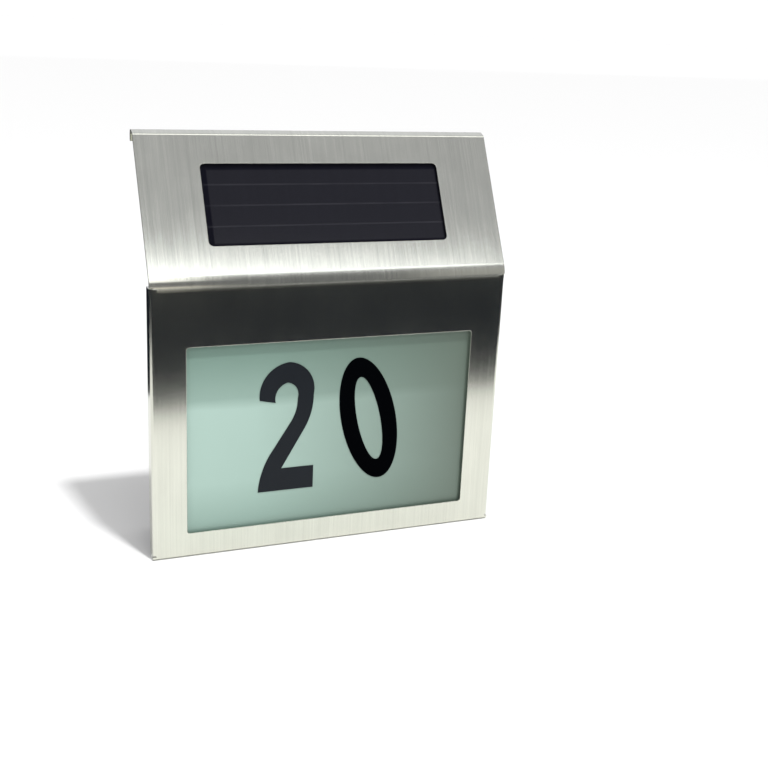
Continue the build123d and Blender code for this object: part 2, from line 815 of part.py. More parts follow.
with BuildPart() as board_screws:
    with BuildSketch(face_plane.offset(-board_depth)):
        with Locations((0, board_centre_height)):
            with GridLocations(post_spacing_x, post_spacing_z, 2, 2):
                Circle(board_screw_head_radius)
    extrude(amount=board_screw_head_height)
    chamfer(board_screws.edges().group_by(Axis.Y)[0], length=board_screw_head_height / 3)
    with BuildSketch(face_plane.offset(-board_depth)):
        with Locations((0, board_centre_height)):
            with GridLocations(post_spacing_x, post_spacing_z, 2, 2):
                Circle(board_screw_radius)
    extrude(amount=-board_screw_length)
    with BuildSketch(face_plane.offset(board_screw_head_height - board_depth)):
        with Locations((0, board_centre_height)):
            with GridLocations(post_spacing_x, post_spacing_z, 2, 2):
                Rectangle(small_cross_length, small_cross_width)
                Rectangle(small_cross_width, small_cross_length)
    extrude(amount=-small_cross_depth, mode=Mode.SUBTRACT)

with BuildPart() as controller_chip:
    with BuildSketch(face_plane.offset(-board_depth)):
        with Locations((chip_x, board_centre_height + chip_up)):
            Rectangle(chip_length, chip_width)
    extrude(amount=chip_height)
    # gull-wing legs, four on each side
    with BuildSketch(face_plane.offset(-board_depth)):
        with Locations((chip_x, board_centre_height + chip_up)):
            with GridLocations(chip_leg_pitch, 0, chip_leg_count, 1):
                Rectangle(chip_leg_width, chip_width + 2 * chip_leg_reach)
    extrude(amount=chip_leg_height)

with BuildPart() as charge_inductor:
    with BuildSketch(face_plane.offset(-board_depth)):
        with Locations((inductor_x, board_centre_height + inductor_up)):
            Circle(inductor_radius)
    extrude(amount=inductor_height)
    with BuildSketch(face_plane.offset(inductor_height / 4 - board_depth)):
        with Locations((inductor_x, board_centre_height + inductor_up)):
            Circle(inductor_radius)
            Circle(inductor_radius - inductor_groove, mode=Mode.SUBTRACT)
    extrude(amount=inductor_height / 2, mode=Mode.SUBTRACT)

with BuildPart() as capacitor:
    with BuildSketch(face_plane.offset(-board_depth)):
        with Locations((capacitor_x, board_centre_height + capacitor_up)):
            Circle(capacitor_radius)
    extrude(amount=capacitor_height)
    chamfer(capacitor.edges().group_by(Axis.Y)[0], length=capacitor_edge)

# ------------------------------------------------------------------ slide switch

switch_back = board_back + switch_thickness
slider_front = switch_back - slider_seat
slider_back = sign_depth - slider_setback
slider_off_x = switch_x - switch_travel / 2

with BuildPart() as switch_body:
    with BuildSketch(face_plane.offset(-board_back)):
        with Locations((switch_x, board_centre_height)):
            Rectangle(switch_length, switch_height)
    extrude(amount=-switch_thickness)
    with BuildSketch(face_plane.offset(-switch_back)):
        with Locations((switch_x, board_centre_height)):
            Rectangle(slider_slot, slider_height + slider_gap)
    extrude(amount=slider_seat, mode=Mode.SUBTRACT)

with BuildPart() as switch_slider:
    with BuildSketch(face_plane.offset(-slider_front - slider_gap / 2)):
        with Locations((slider_off_x, board_centre_height)):
            Rectangle(slider_length, slider_height)
    extrude(amount=slider_front + slider_gap / 2 - slider_back)
    with BuildSketch(face_plane.offset(-slider_back)):
        with Locations((slider_off_x, board_centre_height)):
            with GridLocations(slider_length / 3, 0, 2, 1):
                Rectangle(slider_groove, slider_height)
    extrude(amount=slider_groove, mode=Mode.SUBTRACT)

# ------------------------------------------------------------------ battery, its contacts and its door

contact_x = bay_length / 2 - contact_thickness
cell_plus_x = contact_x - bay_gap - nub_length
cell_minus_x = cell_plus_x - cell_length
spring_height = contact_x + cell_minus_x - bay_gap - 2 * spring_wire

with BuildPart() as battery_cell:
    with BuildSketch(Plane.YZ.offset(cell_minus_x)):
        with Locations((into(cell_axis_depth), cell_height)):
            Circle(cell_radius)
    extrude(amount=cell_length)
    chamfer(battery_cell.edges(), length=cell_edge)
    with BuildSketch(Plane.YZ.offset(cell_plus_x)):
        with Locations((into(cell_axis_depth), cell_height)):
            Circle(nub_radius)
    extrude(amount=nub_length)
    with BuildSketch(Plane.YZ.offset(cell_plus_x)):
        with Locations((into(cell_axis_depth), cell_height)):
            Circle(cell_radius - cell_rim)
            Circle(nub_radius + cell_rim, mode=Mode.SUBTRACT)
    extrude(amount=-cell_edge / 2, mode=Mode.SUBTRACT)

with BuildPart() as battery_contacts:
    with BuildSketch(Plane.YZ.offset(contact_x)):
        with Locations((into(cell_axis_depth), cell_height)):
            RectangleRounded(contact_width, contact_width, window_corner)
    extrude(amount=contact_thickness)
    with BuildSketch(Plane.YZ.offset(contact_x + contact_thickness / 2)):
        with Locations((into(tab_depth), cell_height)):
            Rectangle(tab_width, contact_thickness)
    extrude(amount=contact_thickness / 2 + tab_length)
    mirror(about=Plane.YZ)

spring_start = spring_wire - contact_x


def coil_point(turns):
    """A point of the spring's centre line, after so many turns from its base."""
    done = turns / spring_turns
    radius = spring_base_radius + (spring_tip_radius - spring_base_radius) * done
    angle = 2 * pi * turns
    across = into(cell_axis_depth) + radius * cos(angle)
    return Vector(spring_start + spring_height * done, across, cell_height + radius * sin(angle))


def coil_heading(turns):
    """The direction in which the centre line runs at that point."""
    step = coil_step / 1000
    return (coil_point(turns + step) - coil_point(turns - step)).normalized()


def biarc_joint(start, start_heading, end, end_heading):
    """The point at which two arcs meet smoothly on the way from one point and heading to another."""
    chord = end - start
    headings = start_heading + end_heading
    spread = 2 * (1 - start_heading.dot(end_heading))
    along = chord.dot(headings)
    reach = (sqrt(along * along + spread * chord.dot(chord)) - along) / spread
    return (start + end + (start_heading - end_heading) * reach) / 2


coil_step = 1 / 2
coil_ends = [n * coil_step for n in range(round(spring_turns / coil_step) + 1)]

with BuildPart() as battery_spring:
    with BuildLine() as coil_line:
        for begin, end in zip(coil_ends, coil_ends[1:]):
            first, last = coil_point(begin), coil_point(end)
            heading = coil_heading(begin)
            middle = biarc_joint(first, heading, last, coil_heading(end))
            opening_arc = TangentArc(first, middle, tangent=heading)
            TangentArc(middle, last, tangent=opening_arc % 1)
    with BuildSketch(Plane(origin=coil_line.line @ 0, z_dir=coil_line.line % 0)):
        Circle(spring_wire)
    sweep()

with BuildPart() as door_seal:
    with BuildSketch(face_plane.offset(-cover_depth)):
        with Locations((0, cell_height)):
            seal_inner_length = bay_length + 2 * door_gap
            seal_inner_height = 2 * (bay_half_height + door_gap)
            Rectangle(seal_inner_length + 2 * door_seal_width, seal_inner_height + 2 * door_seal_width)
            Rectangle(seal_inner_length, seal_inner_height, mode=Mode.SUBTRACT)
    extrude(amount=cover_depth - door_depth)

with BuildPart() as battery_door:
    with BuildSketch(face_plane.offset(-door_depth)):
        with Locations((0, cell_height)):
            RectangleRounded(door_length, door_height, door_corner - door_gap)
    extrude(amount=-door_thickness)
    # thumb grooves at one end
    with BuildSketch(face_plane.offset(-sign_depth)):
        with Locations((grip_x, cell_height)):
            with GridLocations(grip_pitch, 0, grip_count, 1):
                SlotOverall(grip_length, grip_width, rotation=90)
    extrude(amount=grip_width / 2, mode=Mode.SUBTRACT)
    # countersunk screw holes
    with BuildSketch(face_plane.offset(-sign_depth)):
        with Locations((0, cell_height)):
            with GridLocations(2 * door_screw_x, 0, 2, 1):
                Circle(door_screw_radius + screw_gap)
    extrude(amount=door_thickness, mode=Mode.SUBTRACT)
    with BuildSketch(face_plane.offset(-sign_depth)):
        with Locations((0, cell_height)):
            with GridLocations(2 * door_screw_x, 0, 2, 1):
                Circle(door_screw_head_radius + pocket_gap)
    extrude(amount=door_screw_head_height + screw_recess, taper=door_screw_taper, mode=Mode.SUBTRACT)

with BuildPart() as door_screws:
    with BuildSketch(face_plane.offset(-sign_depth + screw_recess)):
        with Locations((0, cell_height)):
            with GridLocations(2 * door_screw_x, 0, 2, 1):
                Circle(door_screw_head_radius)
    extrude(amount=door_screw_head_height, taper=door_screw_taper)
    with BuildSketch(face_plane.offset(-sign_depth + screw_recess)):
        with Locations((0, cell_height)):
            with GridLocations(2 * door_screw_x, 0, 2, 1):
                Circle(door_screw_radius)
    extrude(amount=door_screw_length)
    with BuildSketch(face_plane.offset(-sign_depth + screw_recess)):
        with Locations((0, cell_height)):
            with GridLocations(2 * door_screw_x, 0, 2, 1):
                Rectangle(small_cross_length, small_cross_width)
                Rectangle(small_cross_width, small_cross_length)
    extrude(amount=small_cross_depth, mode=Mode.SUBTRACT)

# ------------------------------------------------------------------ internal leads

lean_angle = radians(panel_lean)
solar_exit_y = into(solar_lead_up * sin(lean_angle) + solar_board_back * cos(lean_angle))
solar_exit_z = fold_height + solar_lead_up * cos(lean_angle) - solar_board_back * sin(lean_angle)
lead_y = into(board_depth - lead_stand_off)
led_board_top = led_board_bottom + led_board_thickness
solar_lead_end = board_centre_height + solar_lead_rise
led_lead_end = led_board_top + led_lead_rise
battery_lead_turn = board_centre_height + battery_turn_rise
battery_lead_end = board_centre_height + battery_lead_rise
tab_end_x = bay_length / 2 + tab_length - lead_radius


def bend_radii(points):
    """At each corner, the largest radius that leaves a little of both runs straight."""
    runs = [Vector(*end) - Vector(*start) for start, end in zip(points, points[1:])]
    radii = []
    for before, after in zip(runs, runs[1:]):
        half_turn = radians(before.get_angle(after)) / 2
        radii.append(bend_share * min(before.length, after.length) / tan(half_turn))
    return radii


def lead(*points):
    """One insulated lead: straight runs joined by rounded bends."""
    with BuildPart() as wire:
        with BuildLine() as run:
            FilletPolyline(*points, radius=bend_radii(points))
        with BuildSketch(Plane(origin=run.line @ 0, z_dir=run.line % 0)):
            Circle(lead_radius)
        sweep()
    return wire.part


solar_runs = [
    lead(
        (x, solar_exit_y, solar_exit_z),
        (x, solar_exit_y + lead_leave * cos(lean_angle), solar_exit_z - lead_leave * sin(lean_angle)),
        (x, lead_y, solar_lead_end),
        (x, into(board_depth), solar_lead_end),
    )
    for x in (solar_lead_x, solar_lead_x + lead_spread)
]
led_runs = [
    lead(
        (x, led_y, led_board_top),
        (x, led_y, led_board_top + lead_leave),
        (x, lead_y, led_lead_end),
        (x, into(board_depth), led_lead_end),
    )
    for x in (led_lead_x, led_lead_x + lead_spread)
]
battery_runs = [
    lead(
        (side * tab_end_x, into(tab_depth), cell_height + contact_thickness / 2),
        (side * tab_end_x, into(tab_depth), battery_lead_turn),
        (side * battery_lead_x, into(tab_depth), battery_lead_end),
        (side * battery_lead_x, into(board_depth), battery_lead_end),
    )
    for side in (-1, 1)
]

with BuildPart() as solar_leads:
    add(solar_runs)

with BuildPart() as led_leads:
    add(led_runs)

with BuildPart() as battery_leads:
    add(battery_runs)

# ------------------------------------------------------------------ export

subparts = {
    "front_plate": front_plate,
    "plate_nuts": plate_nuts,
    "window_seal": window_seal,
    "window_pane": window_pane,
    "numeral_two": numeral_two,
    "numeral_zero": numeral_zero,
    "reflector": reflector,
    "led_board": led_board,
    "leds": leds,
    "solar_seal": solar_seal,
    "solar_cover": solar_cover,
    "solar_cells": solar_cells,
    "solar_board": solar_board,
    "housing": housing,
    "rear_cover": rear_cover,
    "cover_seal": cover_seal,
    "cover_screws": cover_screws,
    "circuit_board": circuit_board,
    "board_screws": board_screws,
    "controller_chip": controller_chip,
    "charge_inductor": charge_inductor,
    "capacitor": capacitor,
    "switch_body": switch_body,
    "switch_slider": switch_slider,
    "battery_cell": battery_cell,
    "battery_contacts": battery_contacts,
    "battery_spring": battery_spring,
    "battery_door": battery_door,
    "door_seal": door_seal,
    "door_screws": door_screws,
    "solar_leads": solar_leads,
    "led_leads": led_leads,
    "battery_leads": battery_leads,
}

for name, piece in subparts.items():
    piece.part.label = name
    export_step(piece.part, f"parts/{name}.step")
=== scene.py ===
"""Looks for a solar powered, illuminated house number sign in brushed stainless steel.

Metres, +Z up. The viewer stands at -Y and the wall is at +Y.
"""

from math import pi, sqrt

import bmesh
import bpy
from mathutils import Matrix, Vector


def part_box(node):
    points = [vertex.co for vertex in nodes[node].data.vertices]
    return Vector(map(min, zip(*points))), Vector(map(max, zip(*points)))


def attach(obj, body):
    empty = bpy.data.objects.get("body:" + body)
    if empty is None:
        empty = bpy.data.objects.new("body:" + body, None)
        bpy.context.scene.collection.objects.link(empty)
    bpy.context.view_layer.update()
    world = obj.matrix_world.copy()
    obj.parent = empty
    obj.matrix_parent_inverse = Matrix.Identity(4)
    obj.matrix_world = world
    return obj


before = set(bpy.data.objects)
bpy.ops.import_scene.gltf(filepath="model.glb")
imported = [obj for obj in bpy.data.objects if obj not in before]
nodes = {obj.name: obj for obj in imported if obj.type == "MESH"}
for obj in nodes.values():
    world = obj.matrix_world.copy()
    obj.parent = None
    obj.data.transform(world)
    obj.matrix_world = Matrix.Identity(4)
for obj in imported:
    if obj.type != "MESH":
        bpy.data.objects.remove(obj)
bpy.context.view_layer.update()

MM = 0.001

# ------------------------------------------------------------------ camera

PHOTO_SIZE = 768
FOCAL_PIXELS = 1166.0
SENSOR_WIDTH = 36.0
NEAR_LIMIT = 0.01
CAMERA_PLACE = Vector((-0.19155, -0.53132, 0.25237))
LOOK_AHEAD = Vector((0.374665, 0.879043, -0.294805))
LOOK_RIGHT = Vector((0.924328, -0.378970, 0.044716))
LOOK_DOWN = Vector((-0.072415, -0.289250, -0.954511))


def add_camera():
    """The camera at the photographed viewing angle."""
    lens = bpy.data.cameras.new("camera")
    lens.sensor_width = SENSOR_WIDTH
    lens.lens = SENSOR_WIDTH * FOCAL_PIXELS / PHOTO_SIZE
    lens.clip_start = NEAR_LIMIT
    camera = bpy.data.objects.new("camera", lens)
    turn = Matrix((LOOK_RIGHT, -LOOK_DOWN, -LOOK_AHEAD)).transposed()
    camera.matrix_world = Matrix.Translation(CAMERA_PLACE) @ turn.to_4x4()
    bpy.context.scene.collection.objects.link(camera)
    bpy.context.scene.camera = camera


# ------------------------------------------------------------------ node trees


def pick(sockets, key):
    """A socket by its number, or the one of that name that is in use."""
    if isinstance(key, int):
        return sockets[key]
    return next(socket for socket in sockets if socket.enabled and socket.name == key)


class Amount:
    """A number that varies over a surface. Arithmetic on it adds Math nodes."""

    def __init__(self, tree, socket):
        self.tree = tree
        self.socket = socket

    def math(self, operation, first, second=0):
        return self.tree.add("ShaderNodeMath", {"operation": operation}, {0: first, 1: second})

    def __add__(self, other):
        return self.math("ADD", self, other)

    __radd__ = __add__

    def __sub__(self, other):
        return self.math("SUBTRACT", self, other)

    def __rsub__(self, other):
        return self.math("SUBTRACT", other, self)

    def __mul__(self, other):
        return self.math("MULTIPLY", self, other)

    __rmul__ = __mul__

    def __truediv__(self, other):
        return self.math("DIVIDE", self, other)

    def __rtruediv__(self, other):
        return self.math("DIVIDE", other, self)

    def over(self, level):
        """1 where the number is over the level, otherwise 0."""
        return self.math("GREATER_THAN", self, level)

    def under(self, level):
        """1 where the number is under the level, otherwise 0."""
        return self.math("LESS_THAN", self, level)

    def size(self):
        """The number without its sign."""
        return self.math("ABSOLUTE", self)

    def least(self, other):
        """The smaller one of two numbers."""
        return self.math("MINIMUM", self, other)

    def part(self):
        """What follows the decimal point."""
        return self.math("FRACT", self)


class Nodes:
    """A node tree that is filled by one method."""

    def __init__(self, tree):
        self.tree = tree

    def add(self, kind, settings, inputs, output=0):
        """Adds a node, makes its settings, then fills its sockets with values or links."""
        node = self.tree.nodes.new(kind)
        for label, value in settings.items():
            if label == "stops":
                self.fill_ramp(node.color_ramp, value)
            else:
                setattr(node, label, value)
        for key, value in inputs.items():
            self.feed(pick(node.inputs, key), value)
        return Amount(self, pick(node.outputs, output))

    def fill_ramp(self, ramp, stops):
        while len(ramp.elements) < len(stops):
            ramp.elements.new(1)
        for element, (place, grey) in zip(ramp.elements, stops):
            element.position = place
            element.color = (grey, grey, grey, 1)

    def feed(self, socket, value):
        if isinstance(value, Amount):
            self.tree.links.new(value.socket, socket)
        elif socket.type == "RGBA" and len(value) == 3:
            socket.default_value = (*value, 1)
        else:
            socket.default_value = value


class Finish(Nodes):
    """A material whose detail comes from nodes."""

    def __init__(self, name, colour, **settings):
        self.material = bpy.data.materials.new(name)
        self.material.use_nodes = True
        super().__init__(self.material.node_tree)
        self.shader = self.tree.nodes["Principled BSDF"]
        self.set("Base Color", colour)
        for label, value in settings.items():
            self.set(label.replace("_", " ").title().replace("Ior", "IOR"), value)

    def set(self, label, value):
        self.feed(self.shader.inputs[label], value)

    def place(self, stretch):
        """Object coordinates in metres, stretched by a factor along each axis."""
        here = self.add("ShaderNodeTexCoord", {}, {}, "Object")
        return self.add("ShaderNodeMapping", {}, {"Vector": here, "Scale": stretch})

    def noise(self, cells, detail=2, roughness=0.5):
        """Smooth noise from 0 to 1. The cells to the metre are one number, or one for each axis."""
        stretch = cells if isinstance(cells, tuple) else (cells, cells, cells)
        inputs = {"Vector": self.place(stretch), "Scale": 1, "Detail": detail, "Roughness": roughness}
        return self.add("ShaderNodeTexNoise", {}, inputs)

    def axis(self, letter):
        """One Object coordinate, in metres."""
        here = self.add("ShaderNodeTexCoord", {}, {}, "Object")
        return self.add("ShaderNodeSeparateXYZ", {}, {0: here}, letter)

    def ramp(self, amount, *stops):
        return self.add("ShaderNodeValToRGB", {"stops": stops}, {0: amount})

    def blend(self, share, first, second):
        """A colour between two others."""
        inputs = {"Factor": share, "A": first, "B": second}
        return self.add("ShaderNodeMix", {"data_type": "RGBA"}, inputs, "Result")

    def bump(self, height, depth, edge=None):
        """Relief of a given depth in metres, over edges that are rounded by a small radius."""
        inputs = {"Height": height, "Distance": depth, "Strength": 1}
        if edge:
            inputs["Normal"] = self.add("ShaderNodeBevel", {"samples": 4}, {"Radius": edge})
        self.set("Normal", self.add("ShaderNodeBump", {}, inputs))


# ------------------------------------------------------------------ finishes


def shade(colour, factor):
    """The same colour, darker or lighter by a factor."""
    return tuple(min(1.0, factor * part) for part in colour)


def brushed_steel():
    """Stainless sheet, brushed from its top edge to its bottom edge."""
    finish = Finish("brushed_steel", (0.63, 0.64, 0.56), metallic=1.0)
    scratches = finish.noise((2600, 16, 16), detail=3)
    grain = finish.noise((1100, 9, 9))
    bands = finish.noise((300, 6, 6))
    cloud = finish.noise((60, 40, 40), detail=4, roughness=0.65)
    streak = scratches * 0.45 + grain * 0.42 + bands * 0.13
    tone = finish.ramp(streak * 0.72 + cloud * 0.28, (0.36, 0.0), (0.64, 1.0))
    finish.set("Base Color", finish.blend(tone, (0.604, 0.611, 0.537), (0.722, 0.729, 0.642)))
    finish.set("Roughness", streak * 0.05 + cloud * 0.05 + 0.112)
    finish.bump(scratches * 0.6 + grain * 0.4, 0.018 * MM, edge=0.5 * MM)
    return finish


def zinc_steel(name, colour):
    """Zinc plated steel, a little dull and spotted."""
    finish = Finish(name, colour, metallic=1.0)
    spots = finish.noise(900, detail=3)
    finish.set("Base Color", finish.blend(spots, shade(colour, 0.78), colour))
    finish.set("Roughness", spots * 0.2 + 0.28)
    finish.bump(spots, 0.02 * MM)
    return finish


def moulded_plastic(name, colour, depth=0.03 * MM, rough=0.45):
    """Moulded plastic with a fine spark-eroded texture."""
    finish = Finish(name, colour)
    texture = finish.noise(1500)
    drift = finish.noise(35)
    finish.set("Base Color", finish.blend(texture * 0.6 + drift * 0.4, colour, shade(colour, 1.3)))
    finish.set("Roughness", drift * 0.12 + texture * 0.1 + rough)
    finish.bump(texture, depth, edge=0.2 * MM)
    return finish


def frosted_pane():
    """Pale green acrylic with an etched face.

    Its colour carries painted light and shade: it is darker towards its top and at its very bottom,
    and it also darkens to the right.
    """
    finish = Finish("frosted_pane", (0.37, 0.49, 0.44), ior=1.49)
    low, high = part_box("window_pane")
    height = (finish.axis("Z") - low.z) / (high.z - low.z)
    across = (finish.axis("X") - low.x) / (high.x - low.x)
    haze = finish.noise((16, 16, 30), detail=3)
    wave = height + (haze - 0.5) * 0.05
    # painted light and shade: lightest a little above the middle, darkest at the top, darker at the
    # very bottom
    light = finish.ramp(wave, (0.0, 0.42), (0.28, 0.92), (0.64, 1.0), (0.69, 0.56), (1.0, 0.05))
    tint = finish.blend(light, (0.115, 0.203, 0.162), (0.39, 0.54, 0.478))
    # painted shade: the colour grows darker towards the right
    side = finish.ramp(across, (0.0, 0.0), (0.25, 0.09), (0.55, 0.45), (1.0, 1.0))
    finish.set("Base Color", finish.blend(side, tint, (0.11, 0.145, 0.115)))
    etch = finish.noise(3000)
    finish.set("Roughness", etch * 0.08 + haze * 0.1 + 0.26)
    finish.bump(etch, 0.004 * MM)
    return finish


def numeral_film(name, colour, rough, gloss):
    """Self-adhesive film with a faint orange-peel surface."""
    finish = Finish(name, colour, specular_ior_level=gloss)
    peel = finish.noise(700, detail=1)
    drift = finish.noise(45)
    finish.set("Base Color", finish.blend(drift, colour, shade(colour, 1.5)))
    finish.set("Roughness", drift * 0.12 + peel * 0.06 + rough)
    finish.bump(peel, 0.01 * MM)
    return finish


STRIP_COUNT = 4
STRIP_GAP = 0.7 * MM
# small shifts that put the three lines between the strips at their measured heights
STRIPS_SPREAD = 0.4 * MM
STRIPS_LIFT = 0.47 * MM
# the printed rim, from the edges of the cells inwards
BORDER_LEFT = 6.1 * MM
BORDER_RIGHT = 3.7 * MM
BORDER_TOP = 2.0 * MM
BORDER_BOTTOM = 1.1 * MM
BORDER_SOFT = 0.8 * MM


def solar_glass():
    """Clear resin over dark silicon strips: the gaps between the strips show as thin lines.

    The rim of the resin is printed black, and only what lies inside it shines.
    """
    dark = (0.004, 0.004, 0.008)
    finish = Finish("solar_glass", dark, specular_ior_level=0.0, coat_roughness=0.14)
    low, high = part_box("solar_cells")
    pitch = (high.z - low.z + STRIPS_SPREAD) / STRIP_COUNT
    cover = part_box("solar_cover")
    middle = (cover[0].z + cover[1].z) / 2 + STRIPS_LIFT
    up = finish.axis("Z") - middle
    in_strip = (up / pitch).part()
    to_gap = (0.5 - (in_strip - 0.5).size()) * pitch
    is_gap = to_gap.under(STRIP_GAP / 2)
    wear = finish.noise((60, 300, 300))
    fingers = finish.noise((1400, 3, 3), detail=1)
    silicon = finish.blend(fingers, (0.003, 0.003, 0.006), (0.006, 0.006, 0.010))
    along = finish.axis("X")
    to_side = (along - (low.x + BORDER_LEFT)).least((high.x - BORDER_RIGHT) - along)
    half = (high.z - low.z) / 2
    to_end = (up + (half - BORDER_BOTTOM)).least((half - BORDER_TOP) - up)
    inside = finish.ramp(to_side.least(to_end) / BORDER_SOFT, (0.0, 0.0), (1.0, 1.0))
    finish.set("Base Color", finish.blend(is_gap * wear, silicon, (0.022, 0.022, 0.027)))
    finish.set("Coat Weight", inside * 0.62 + 0.08)
    ripple = finish.noise(60, detail=1)
    finish.set("Roughness", ripple * 0.1 + 0.3)
    finish.bump(ripple, 0.02 * MM)
    return finish


def soft_foam(name, colour):
    """Closed-cell foam or rubber."""
    finish = Finish(name, colour)
    cells = finish.noise(2200)
    finish.set("Base Color", finish.blend(cells, colour, shade(colour, 1.6)))
    finish.set("Roughness", cells * 0.15 + 0.7)
    finish.bump(cells, 0.05 * MM)
    return finish


def solder_mask(name, colour):
    """Printed circuit board with darker tracks under its lacquer."""
    finish = Finish(name, colour, coat_weight=0.3)
    tracks = finish.ramp(finish.noise(160, detail=0), (0.47, 0.0), (0.5, 1.0))
    finish.set("Base Color", finish.blend(tracks, shade(colour, 0.6), colour))
    finish.set("Roughness", tracks * 0.1 + 0.3)
    finish.bump(tracks, 0.03 * MM)
    return finish


def shiny_nickel():
    """Nickel plated spring steel."""
    colour = (0.72, 0.7, 0.65)
    finish = Finish("nickel", colour, metallic=1.0)
    wear = finish.noise(400, detail=3)
    finish.set("Base Color", finish.blend(wear, shade(colour, 0.85), colour))
    finish.set("Roughness", wear * 0.15 + 0.12)
    return finish


def lamp_lens():
    """Clear, slightly yellow epoxy."""
    finish = Finish("lamp_lens", (0.9, 0.86, 0.66), roughness=0.1)
    haze = finish.noise(500, detail=1)
    finish.set("Base Color", finish.blend(haze, (0.85, 0.78, 0.5), (0.95, 0.93, 0.8)))
    return finish


SLEEVE_BAND = 9 * MM


def cell_sleeve():
    """Shrink sleeve: green with a plain dark band at the positive end."""
    green = (0.05, 0.3, 0.16)
    finish = Finish("cell_sleeve", green)
    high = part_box("battery_cell")[1]
    band = finish.axis("X").over(high.x - SLEEVE_BAND)
    drift = finish.noise(120)
    finish.set("Base Color", finish.blend(band, green, (0.02, 0.03, 0.03)))
    finish.set("Roughness", drift * 0.15 + 0.25)
    finish.bump(drift, 0.02 * MM)
    return finish


def dress(finish, *names):
    """Gives a finish to CAD nodes."""
    for name in names:
        slots = nodes[name].data.materials
        slots.clear()
        slots.append(finish.material)


def dress_everything():
    dress(brushed_steel(), "front_plate")
    dress(zinc_steel("zinc_nut", (0.62, 0.62, 0.6)), "plate_nuts")
    screws = ("cover_screws", "board_screws", "door_screws")
    dress(zinc_steel("zinc_screw", (0.55, 0.55, 0.55)), *screws)
    dress(frosted_pane(), "window_pane")
    dress(numeral_film("film_slate", (0.007, 0.009, 0.012), 0.3, 0.16), "numeral_two")
    dress(numeral_film("film_black", (0.0008, 0.001, 0.0014), 0.4, 0.0), "numeral_zero")
    dress(solar_glass(), "solar_cover")
    dress(solder_mask("silicon", (0.006, 0.007, 0.016)), "solar_cells")
    dress(moulded_plastic("housing_plastic", (0.03, 0.031, 0.033)), "housing")
    dress(moulded_plastic("cover_plastic", (0.034, 0.035, 0.037)), "rear_cover")
    dress(moulded_plastic("door_plastic", (0.045, 0.046, 0.048)), "battery_door")
    dress(moulded_plastic("slider_plastic", (0.6, 0.6, 0.58), rough=0.35), "switch_slider")
    white = moulded_plastic("reflector_white", (0.8, 0.8, 0.78), depth=0.01 * MM, rough=0.3)
    dress(white, "reflector")
    dress(moulded_plastic("switch_shell", (0.12, 0.12, 0.13)), "switch_body")
    dress(moulded_plastic("chip_resin", (0.012, 0.012, 0.012)), "controller_chip")
    dress(moulded_plastic("ferrite", (0.06, 0.06, 0.065), depth=0.05 * MM), "charge_inductor")
    dress(moulded_plastic("can_sleeve", (0.03, 0.05, 0.2), rough=0.3), "capacitor")
    dress(soft_foam("foam_seal", (0.02, 0.02, 0.02)), "window_seal", "solar_seal")
    dress(soft_foam("gasket", (0.03, 0.03, 0.03)), "cover_seal", "door_seal")
    dress(solder_mask("board_green", (0.03, 0.16, 0.07)), "circuit_board", "solar_board")
    dress(solder_mask("board_white", (0.75, 0.76, 0.74)), "led_board")
    dress(lamp_lens(), "leds")
    dress(shiny_nickel(), "battery_contacts", "battery_spring")
    dress(cell_sleeve(), "battery_cell")
    dress(soft_foam("lead_red", (0.35, 0.02, 0.02)), "solar_leads")
    dress(soft_foam("lead_white", (0.6, 0.58, 0.55)), "led_leads")
    dress(soft_foam("lead_black", (0.015, 0.015, 0.015)), "battery_leads")


# ------------------------------------------------------------------ printed marks

INK = 0.03 * MM
WORD_HEIGHT = 3.2 * MM
HALF_WORD = 0.8 * WORD_HEIGHT
WORD_GAP = 3.5 * MM
RECESS_MARGIN = 2.5 * MM
MARK_ARM = 2.0 * MM
MARK_BAR = 0.8 * MM
MARK_INSET = 7.0 * MM
MARK_DROP = 3.0 * MM
BAY_GAP = 0.3 * MM


def marking_ink():
    """Pale pad-printing ink, a little worn."""
    finish = Finish("marking_ink", (0.62, 0.62, 0.6))
    wear = finish.noise(1500, detail=3)
    finish.set("Base Color", finish.blend(wear, (0.5, 0.5, 0.48), (0.7, 0.7, 0.68)))
    finish.set("Roughness", wear * 0.2 + 0.5)
    return finish


def add_piece(name, mesh, finish, body):
    """A new piece that rides on a CAD body."""
    mesh.materials.clear()
    mesh.materials.append(finish.material)
    piece = bpy.data.objects.new(name, mesh)
    bpy.context.scene.collection.objects.link(piece)
    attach(piece, body)


def word_mesh(word):
    """A word as a thin flat mesh in the XY plane, centred, one unit high."""
    text = bpy.data.curves.new(word, "FONT")
    text.body = word
    text.align_x = "CENTER"
    text.align_y = "CENTER"
    text.extrude = 0.5
    text.resolution_u = 4
    holder = bpy.data.objects.new(word, text)
    mesh = bpy.data.meshes.new_from_object(holder)
    bpy.data.objects.remove(holder)
    return mesh


def add_switch_words(finish):
    """ON and OFF beside the ends of the switch recess, read from behind."""
    low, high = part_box("switch_body")
    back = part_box("rear_cover")[1].y
    middle = (low + high) / 2
    reach = (high.x - low.x) / 2 + RECESS_MARGIN + WORD_GAP
    for word, side in (("ON", 1), ("OFF", -1)):
        mesh = word_mesh(word)
        place = Vector((middle.x + side * (reach + HALF_WORD), back, middle.z))
        # letters that face the wall run towards -X
        turn = Matrix(((-1, 0, 0), (0, 0, 1), (0, 1, 0))).to_4x4()
        size = Matrix.Diagonal((WORD_HEIGHT, WORD_HEIGHT, 2 * INK, 1))
        mesh.transform(Matrix.Translation(place) @ turn @ size)
        add_piece("word_" + word.lower(), mesh, finish, "sign")


